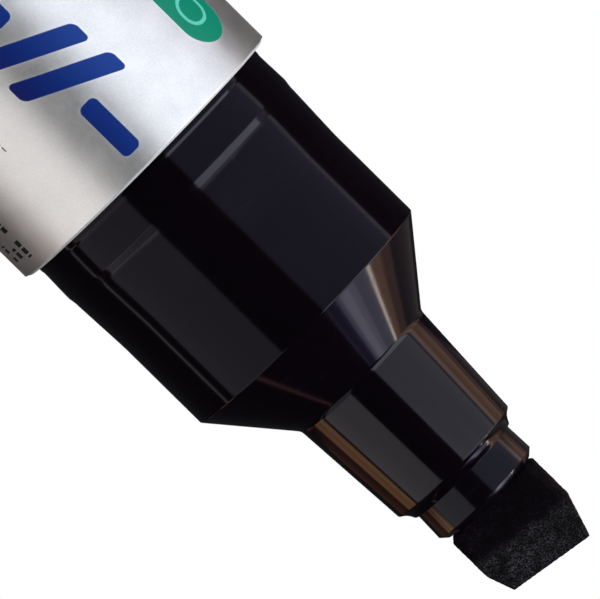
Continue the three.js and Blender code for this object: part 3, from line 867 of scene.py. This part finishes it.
def makePacking():
    low, high = heightsOf("valve_packing")
    outer = valve["chamber"] - valve["chamberGap"]
    corners = [(valve["hole"], low), (outer, low), (outer, high), (valve["hole"], high)]
    packing = spunPiece("valvePacking", roundedOutline([(*corner, 0.2) for corner in corners]), sides=96)
    softenEdges(packing, 0)
    finishPiece(packing, sealRubber, "barrel_unit", "seal_rubber", "valve_packing")


def makeValveStem():
    low, high = heightsOf("valve_stem")
    plugBack = low + valve["tailLength"]
    coneFoot = plugBack + valve["plugLength"]
    padFoot = high - valve["padThickness"]
    stem = spunPiece("valveStem", roundedOutline([
        (0, low), (valve["stemTail"], low, 0.4), (valve["stemTail"], plugBack),
        (valve["plug"], plugBack, 0.15), (valve["plug"], coneFoot, 0.15),
        (valve["rod"], coneFoot + valve["coneLength"], 0.3), (valve["rod"], padFoot, 0.3),
        (valve["pad"], padFoot, 0.25), (valve["pad"], high, 0.25), (0, high)]), sides=96)
    softenEdges(stem, 0.03)
    finishPiece(stem, whiteMoulding, "nib_unit", "white_plastic", "valve_stem")


# the perforated disc that holds the spring
def makeRetainer():
    low, high = heightsOf("valve_retainer")
    outer, guide = valve["chamber"] - valve["chamberGap"], valve["guide"]
    disc = spunPiece("valveRetainer", [(guide, low), (outer, low), (outer, high), (guide, high)], sides=96)
    for i in range(valve["portCount"]):
        turn = 2 * math.pi * i / valve["portCount"]
        port = Vector((math.cos(turn), math.sin(turn), 0)) * valve["portPlace"] * mm
        port.z = (low + high) / 2 * mm
        bpy.ops.mesh.primitive_cylinder_add(vertices=32, radius=valve["portRadius"] * mm,
                                            depth=(high - low + 1) * mm, location=port)
        combine(disc, "DIFFERENCE", settled("drill"))
    softenEdges(disc, 0.08)
    finishPiece(disc, milkyMoulding, "barrel_unit", "natural_plastic", "valve_retainer")


# a round wire wound up the axis, which shortens as the stem comes down
def makeSpring():
    low, high = heightsOf("valve_spring")
    rise = high - low - 2 * valve["wire"]
    steps = round(valve["turnSteps"] * valve["turns"])
    bpy.ops.mesh.primitive_circle_add(vertices=valve["wireSides"], radius=valve["wire"] * mm,
                                      fill_type="NOTHING", rotation=(math.pi / 2, 0, 0),
                                      location=(valve["coil"] * mm, 0, (low + valve["wire"]) * mm))
    spring = settled("valveSpring")
    applyModifier(spring, "SCREW", axis="Z", angle=2 * math.pi * valve["turns"], screw_offset=rise * mm,
                  steps=steps, render_steps=steps, use_merge_vertices=False)
    editing(spring)
    bpy.ops.mesh.select_mode(type="EDGE")
    bpy.ops.mesh.select_all(action="DESELECT")
    bpy.ops.mesh.select_non_manifold()
    bpy.ops.mesh.edge_face_add()
    bpy.ops.mesh.select_all(action="SELECT")
    bpy.ops.mesh.normals_make_consistent(inside=False)
    objectMode()
    softenEdges(spring, 0)
    finishPiece(spring, springSteel, "barrel_unit", "steel", "valve_spring")
    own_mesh(spring)


def makeValve():
    makeValveBody()
    makePacking()
    makeValveStem()
    makeRetainer()
    makeSpring()
    print("valve ready")


makeFrontSection()
makeBarrel()
makeHolder()
makeNib()
makeCap()
makeTailPlug()
makeLiner()
makeSealRings()
makeBalls()
makeValve()


# ---- camera, turned so that the nib points down to the right
shot = {"azimuth": -4.0, "distance": 800.0, "height": 156.7, "cameraHeight": 106.0, "sideways": 0.65,
        "roll": 134.6, "lens": 578.3}
azimuth = math.radians(shot["azimuth"])
towardsCamera = Vector((math.sin(azimuth), -math.cos(azimuth), 0))
leftOfCamera = Vector((-math.cos(azimuth), -math.sin(azimuth), 0))


def makeCamera():
    camera = bpy.data.objects.new("camera", bpy.data.cameras.new("camera"))
    bpy.context.scene.collection.objects.link(camera)
    target = Vector((0, 0, shot["height"] * mm)) + leftOfCamera * shot["sideways"] * mm
    place = towardsCamera * shot["distance"] * mm + leftOfCamera * shot["sideways"] * mm
    place.z = shot["cameraHeight"] * mm
    facing = (target - place).to_track_quat("-Z", "Y").to_matrix().to_4x4()
    roll = Matrix.Rotation(math.radians(shot["roll"]), 4, "Z")
    camera.matrix_world = Matrix.Translation(place) @ facing @ roll
    camera.data.lens = shot["lens"]
    camera.data.sensor_width = 36
    camera.data.clip_start = 0.05
    camera.data.clip_end = 20
    bpy.context.scene.camera = camera


# ---- studio: tall soft panels round the marker, in mm; angles in degrees from the camera, + to its left
# each: distance, first and last angle, bottom, top, radiance
panels = {
    "left": (700, 12.6, 97, 2, 262, (0.50, 0.53, 0.68)),
    "leftRim": (700, 97, 101, 2, 262, (1.2, 1.15, 1.2)),
    "leftHigh": (700, 12.6, 88, 262, 318, (1.8, 1.85, 1.85)),
    "leftTop": (700, 12.6, 88, 318, 1000, (3.9, 4.1, 4.2)),
    "leftTopSide": (700, 88, 97, 262, 1000, (0.5, 0.53, 0.68)),
    "leftRimTop": (700, 97, 101, 305, 1000, (1.0, 0.98, 1.02)),
    "right": (700, -90.5, -32.5, 2, 262, (0.74, 0.72, 0.74)),
    "rightHigh": (700, -88, -32.5, 262, 318, (2.0, 1.9, 1.75)),
    "rightTop": (700, -88, -32.5, 318, 1000, (0.95, 0.92, 0.92)),
    "rightThin": (700, -101.5, -99.6, 2, 262, (1.4, 1.3, 1.35)),
    "rightThinTop": (700, -101.5, -99.6, 305, 1000, (1.4, 1.3, 1.35)),
    "warmLeft": (150, 91, 99, 184, 395, (3.0, 1.9, 1.25)),
    "warmLeftOuter": (150, 99, 118, 184, 395, (1.7, 1.0, 0.62)),
    "warmLeftDim": (150, 118, 128, 184, 395, (0.55, 0.34, 0.27)),
    "warmLeftEdge": (150, 128, 158, 184, 350, (0.1, 0.08, 0.075)),
    "warmRight": (150, -98, -91, 184, 215, (3.2, 1.75, 0.8)),
    "warmRightOuter": (150, -112, -98, 184, 215, (2.2, 1.05, 0.48)),
    "warmRightDim": (150, -140, -112, 184, 215, (0.2, 0.08, 0.05)),
}
wallStep = 44  # about how many degrees one flat panel spans
# strips overhead, side by side on a slanted line from near the camera's side to behind the marker:
# start and end along the line, radiance
overhead = {"height": 860, "turn": 143, "width": 320, "startLeft": 84, "startNear": 88}
overheadStrips = [
    (8, 16, (1.1, 1.1, 1.5)),
    (16, 85, (0.22, 0.2, 0.5)),
    (85, 118, (1.7, 1.7, 2.2)),
    (118, 190, (3.6, 3.5, 4.1)),
    (190, 250, (2.4, 2.5, 3.1)),
    (250, 398, (1.4, 1.4, 1.8)),
    (398, 436, (10.5, 9.2, 7.6)),
]
# a small warm panel overhead, to the right of the camera and behind the marker
warmOverhead = {"right": 409, "behind": 141, "height": 860, "width": 35, "length": 160, "turn": -19,
                "radiance": (0.8, 0.35, 0.3)}


def addPanel(name, matrix, width, height, radiance):
    light = bpy.data.lights.new(name, "AREA")
    light.shape = "RECTANGLE"
    light.size = width
    light.size_y = height
    strongest = max(radiance)
    light.color = [c / strongest for c in radiance]
    light.energy = strongest * math.pi * width * height
    panel = bpy.data.objects.new(name, light)
    bpy.context.scene.collection.objects.link(panel)
    panel.matrix_world = matrix
    panel.visible_camera = False


# a stretch of upright wall round the marker, in flat panels
def addWall(name, distance, start, end, low, high, radiance):
    steps = max(1, round((end - start) / wallStep))
    turns = [math.radians(start + (end - start) * i / steps) for i in range(steps + 1)]
    ends = [(towardsCamera * math.cos(t) + leftOfCamera * math.sin(t)) * distance * mm for t in turns]
    for first, last in zip(ends, ends[1:]):
        middle = (first + last) / 2
        across = last - first
        normal = across.cross(Vector((0, 0, 1)))
        if normal.dot(middle) > 0:
            normal = -normal
        middle.z = (low + high) / 2 * mm
        matrix = Matrix.Translation(middle) @ normal.to_track_quat("-Z", "Y").to_matrix().to_4x4()
        addPanel(name, matrix, across.length, (high - low) * mm, radiance)


def addOverhead():
    turned = Matrix.Rotation(azimuth + math.radians(overhead["turn"]), 4, "Z")
    along = turned @ Vector((1, 0, 0))
    corner = (leftOfCamera * overhead["startLeft"] + towardsCamera * overhead["startNear"]) * mm
    corner.z = overhead["height"] * mm
    for start, end, radiance in overheadStrips:
        matrix = Matrix.Translation(corner + along * (start + end) / 2 * mm) @ turned
        addPanel("overhead", matrix, (end - start) * mm, overhead["width"] * mm, radiance)


def addWarmOverhead():
    place = (-leftOfCamera * warmOverhead["right"] - towardsCamera * warmOverhead["behind"]) * mm
    place.z = warmOverhead["height"] * mm
    matrix = Matrix.Translation(place) @ Matrix.Rotation(azimuth + math.radians(warmOverhead["turn"]), 4, "Z")
    addPanel("warmOverhead", matrix, warmOverhead["length"] * mm, warmOverhead["width"] * mm,
             warmOverhead["radiance"])


def makeLights():
    for name, panel in panels.items():
        addWall(name, *panel)
    addOverhead()
    addWarmOverhead()


backdrop = {"white": (1, 1, 1, 1), "dim": (0.02, 0.021, 0.024, 1)}


# white to the camera, dim to everything else
def makeWorld():
    world = bpy.data.worlds.new("studio")
    bpy.context.scene.world = world
    world.use_nodes = True
    tree = world.node_tree
    tree.nodes.clear()
    output = addNode(tree, "ShaderNodeOutputWorld")
    dim = addNode(tree, "ShaderNodeBackground")
    dim.inputs["Color"].default_value = backdrop["dim"]
    white = addNode(tree, "ShaderNodeBackground")
    white.inputs["Color"].default_value = backdrop["white"]
    path = addNode(tree, "ShaderNodeLightPath")
    mix = addNode(tree, "ShaderNodeMixShader")
    tree.links.new(path.outputs["Is Camera Ray"], mix.inputs[0])
    tree.links.new(dim.outputs[0], mix.inputs[1])
    tree.links.new(white.outputs[0], mix.inputs[2])
    tree.links.new(mix.outputs[0], output.inputs["Surface"])
    bpy.context.scene.view_settings.view_transform = "Standard"


# a floor, in metres, that fades into the white backdrop and is clear from below; the cap stands on it
stage = {"radius": 2.5, "gap": 0.0002, "fadeStart": 0.2, "fadeEnd": 0.6, "colour": (0.86, 0.86, 0.85, 1),
         "roughness": 0.8}


def makeFloor():
    bpy.ops.mesh.primitive_circle_add(vertices=96, radius=stage["radius"], fill_type="NGON",
                                      location=(0, 0, -stage["gap"]))
    floor = settled("floor")
    material, tree, shader, coords = newMaterial("paleFloor")
    shader.inputs["Base Color"].default_value = stage["colour"]
    shader.inputs["Roughness"].default_value = stage["roughness"]
    flat = addNode(tree, "ShaderNodeVectorMath", operation="MULTIPLY")
    flat.inputs[1].default_value = (1, 1, 0)
    tree.links.new(coords, flat.inputs[0])
    away = addNode(tree, "ShaderNodeVectorMath", operation="LENGTH")
    tree.links.new(flat.outputs[0], away.inputs[0])
    fade = addNode(tree, "ShaderNodeMapRange", interpolation_type="SMOOTHSTEP")
    tree.links.new(away.outputs["Value"], fade.inputs["Value"])
    fade.inputs["From Min"].default_value = stage["fadeStart"]
    fade.inputs["From Max"].default_value = stage["fadeEnd"]
    path = addNode(tree, "ShaderNodeLightPath")
    share = mathNode(tree, "MULTIPLY", fade.outputs["Result"], path.outputs["Is Camera Ray"])
    white = addNode(tree, "ShaderNodeEmission")
    white.inputs["Color"].default_value = backdrop["white"]
    mix = addNode(tree, "ShaderNodeMixShader")
    tree.links.new(share, mix.inputs[0])
    tree.links.new(shader.outputs[0], mix.inputs[1])
    tree.links.new(white.outputs[0], mix.inputs[2])
    clear = addNode(tree, "ShaderNodeBsdfTransparent")
    side = addNode(tree, "ShaderNodeNewGeometry")
    seen = addNode(tree, "ShaderNodeMixShader")
    tree.links.new(side.outputs["Backfacing"], seen.inputs[0])
    tree.links.new(mix.outputs[0], seen.inputs[1])
    tree.links.new(clear.outputs[0], seen.inputs[2])
    tree.links.new(seen.outputs[0], tree.nodes["Material Output"].inputs["Surface"])
    floor.data.materials.append(material)
    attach(floor, "cap")


makeCamera()
makeLights()
makeWorld()
makeFloor()
print("stage ready")
